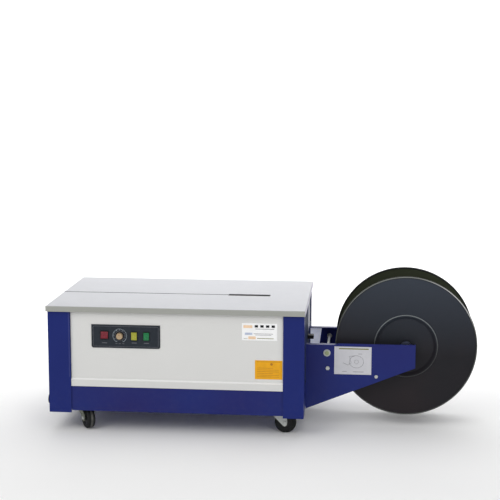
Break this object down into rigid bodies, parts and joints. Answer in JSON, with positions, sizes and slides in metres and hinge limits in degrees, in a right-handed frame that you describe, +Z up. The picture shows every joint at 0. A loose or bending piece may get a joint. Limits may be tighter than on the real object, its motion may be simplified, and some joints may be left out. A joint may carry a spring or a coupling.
{
  "type": "semi automatic strapping machine",
  "caption": "Low strapping table on swivel casters: painted body with control plate, slotted top over a strapping head, and an outrigger reel with brake.",
  "frame": {"origin": "on the floor, under the middle of the whole machine with its reel", "axes": "+X along the table towards the reel, +Y from the control side to the back, +Z up"},
  "size_m": [1.5, 0.58, 0.543],
  "materials": {
    "blue_paint": "semi-gloss powder coat",
    "cover_paint": "semi-gloss off-white paint",
    "table_paint": "smooth light grey paint",
    "panel_black": "fine satin film",
    "red_lens": "translucent moulded lens",
    "yellow_lens": "translucent moulded lens",
    "green_lens": "translucent moulded lens",
    "knob_plastic": "moulded knob",
    "black_plastic": "moulded black",
    "zinc": "bright zinc plate",
    "steel": "machined steel",
    "tyre": "solid rubber tyre",
    "rubber": "black rubber",
    "reel_paint": "satin charcoal paint",
    "core_plastic": "moulded black",
    "motor_paint": "grey-blue machine enamel",
    "gear_paint": "painted casting",
    "box_paint": "light grey enamel"
  },
  "bodies": {
    "chassis": {"arm_bolts": "zinc", "base_plate": "blue_paint", "brake_spring": "zinc", "cable_gland": "black_plastic", "caster_plates": "zinc", "control_plate": "panel_black", "drive_belt": "rubber", "electric_box": "box_paint", "end_plate": "zinc", "feed_bracket": "zinc", "feed_motor": "motor_paint", "front_arm": "blue_paint", "front_cover": "cover_paint", "front_left_post": "blue_paint", "front_rail": "blue_paint", "front_right_post": "blue_paint", "gear_reducer": "gear_paint", "guide_shaft": "zinc", "head_frame": "steel", "left_cover": "cover_paint", "left_rail": "blue_paint", "main_motor": "motor_paint", "rear_arm": "blue_paint", "rear_arm_plate": "zinc", "rear_cover": "cover_paint", "rear_left_post": "blue_paint", "rear_rail": "blue_paint", "rear_right_post": "blue_paint", "reel_axle": "zinc", "right_cover": "blue_paint", "right_rail": "blue_paint", "strap_inlet": "black_plastic", "table_top": "table_paint"},
    "power_rocker": {"power_switch": "red_lens"},
    "timer": {"timer_knob": "knob_plastic"},
    "feed_key": {"feed_button": "yellow_lens"},
    "reset_key": {"reset_button": "green_lens"},
    "reel": {"reel_front_flange": "reel_paint", "reel_core": "core_plastic", "reel_rear_flange": "reel_paint"},
    "brake": {"brake_lever": "zinc", "brake_shoe": "rubber"},
    "motor_drive": {"motor_pulley": "steel"},
    "reducer_drive": {"reducer_pulley": "steel"},
    "cam_drive": {"camshaft": "steel", "cam_set": "steel"},
    "gripper_left": {"left_gripper": "steel"},
    "press_centre": {"centre_press": "steel"},
    "gripper_right": {"right_gripper": "steel"},
    "anvil": {"slide_plate": "steel"},
    "feed_drive": {"feed_roller": "steel"},
    "pinch_drive": {"pinch_roller": "rubber"},
    "caster_front_left": {"caster_fork_front_left": "zinc"},
    "wheel_front_left": {"caster_wheel_front_left": "tyre"},
    "caster_front_right": {"caster_fork_front_right": "zinc"},
    "wheel_front_right": {"caster_wheel_front_right": "tyre"},
    "caster_rear_left": {"caster_fork_rear_left": "zinc"},
    "wheel_rear_left": {"caster_wheel_rear_left": "tyre"},
    "caster_rear_right": {"caster_fork_rear_right": "zinc"},
    "wheel_rear_right": {"caster_wheel_rear_right": "tyre"}
  },
  "joints": [
    {"name": "swivel_front_left", "type": "hinge", "parent": "chassis", "child": "caster_front_left", "pos_m": [-0.631, -0.212, 0.095], "axis": [0, 0, 1], "continuous": true},
    {"name": "roll_front_left", "type": "hinge", "parent": "caster_front_left", "child": "wheel_front_left", "pos_m": [-0.61781, -0.23084, 0.0375], "axis": [0.8192, 0.5736, 0], "continuous": true},
    {"name": "swivel_front_right", "type": "hinge", "parent": "chassis", "child": "caster_front_right", "pos_m": [0.06, -0.212, 0.095], "axis": [0, 0, 1], "continuous": true},
    {"name": "roll_front_right", "type": "hinge", "parent": "caster_front_right", "child": "wheel_front_right", "pos_m": [0.083, -0.212, 0.0375], "axis": [0, 1, 0], "continuous": true},
    {"name": "swivel_rear_left", "type": "hinge", "parent": "chassis", "child": "caster_rear_left", "pos_m": [-0.631, 0.212, 0.095], "axis": [0, 0, 1], "continuous": true},
    {"name": "roll_rear_left", "type": "hinge", "parent": "caster_rear_left", "child": "wheel_rear_left", "pos_m": [-0.61338, 0.19722, 0.0375], "axis": [0.6428, 0.766, 0], "continuous": true},
    {"name": "swivel_rear_right", "type": "hinge", "parent": "chassis", "child": "caster_rear_right", "pos_m": [0.06, 0.212, 0.095], "axis": [0, 0, 1], "continuous": true},
    {"name": "roll_rear_right", "type": "hinge", "parent": "caster_rear_right", "child": "wheel_rear_right", "pos_m": [0.08085, 0.20228, 0.0375], "axis": [0.4226, 0.9063, 0], "continuous": true},
    {"name": "reel_spin", "type": "hinge", "parent": "chassis", "child": "reel", "pos_m": [0.5, 0, 0.293], "axis": [0, 1, 0], "continuous": true},
    {"name": "brake_pivot", "type": "hinge", "parent": "chassis", "child": "brake", "pos_m": [0.226, -0.115, 0.216], "axis": [0, 1, 0], "range_deg": [0, 15], "stiffness_Nm_per_rad": 2, "springref_deg": -8.59, "deforming": ["brake_spring"]},
    {"name": "power_rock", "type": "hinge", "parent": "chassis", "child": "power_rocker", "pos_m": [-0.5455, -0.275, 0.348], "axis": [1, 0, 0], "range_deg": [0, 16]},
    {"name": "timer_turn", "type": "hinge", "parent": "chassis", "child": "timer", "pos_m": [-0.4915, -0.28, 0.346], "axis": [0, -1, 0], "range_deg": [-150, 150]},
    {"name": "feed_press", "type": "slide", "parent": "chassis", "child": "feed_key", "axis": [0, 1, 0], "range_m": [0, 0.003], "stiffness_N_per_m": 300, "springref_m": -0.001},
    {"name": "reset_press", "type": "slide", "parent": "chassis", "child": "reset_key", "axis": [0, 1, 0], "range_m": [0, 0.003], "stiffness_N_per_m": 300, "springref_m": -0.001},
    {"name": "reducer_spin", "type": "hinge", "parent": "chassis", "child": "reducer_drive", "pos_m": [-0.276, 0.06, 0.25], "axis": [1, 0, 0], "continuous": true},
    {"name": "motor_spin", "type": "hinge", "parent": "chassis", "child": "motor_drive", "pos_m": [-0.276, 0.06, 0.16], "axis": [1, 0, 0], "continuous": true},
    {"name": "cam_spin", "type": "hinge", "parent": "chassis", "child": "cam_drive", "pos_m": [-0.1, -0.022, 0.25], "axis": [1, 0, 0], "continuous": true},
    {"name": "gripper_left_lift", "type": "slide", "parent": "chassis", "child": "gripper_left", "axis": [0, 0, 1], "range_m": [0, 0.012]},
    {"name": "press_centre_lift", "type": "slide", "parent": "chassis", "child": "press_centre", "axis": [0, 0, 1], "range_m": [0, 0.012]},
    {"name": "gripper_right_lift", "type": "slide", "parent": "chassis", "child": "gripper_right", "axis": [0, 0, 1], "range_m": [0, 0.012]},
    {"name": "anvil_slide", "type": "slide", "parent": "chassis", "child": "anvil", "axis": [0, 1, 0], "range_m": [0, 0.025]},
    {"name": "feed_spin", "type": "hinge", "parent": "chassis", "child": "feed_drive", "pos_m": [0.095, -0.022, 0.2775], "axis": [0, 1, 0], "continuous": true},
    {"name": "pinch_spin", "type": "hinge", "parent": "chassis", "child": "pinch_drive", "pos_m": [0.095, -0.022, 0.3215], "axis": [0, 1, 0], "continuous": true}
  ],
  "couplings": [
    {"joint": "motor_spin", "follows": "reducer_spin", "ratio": 1.6071},
    {"joint": "cam_spin", "follows": "reducer_spin", "ratio": 0.05},
    {"joint": "pinch_spin", "follows": "feed_spin", "ratio": -1.3889}
  ]
}
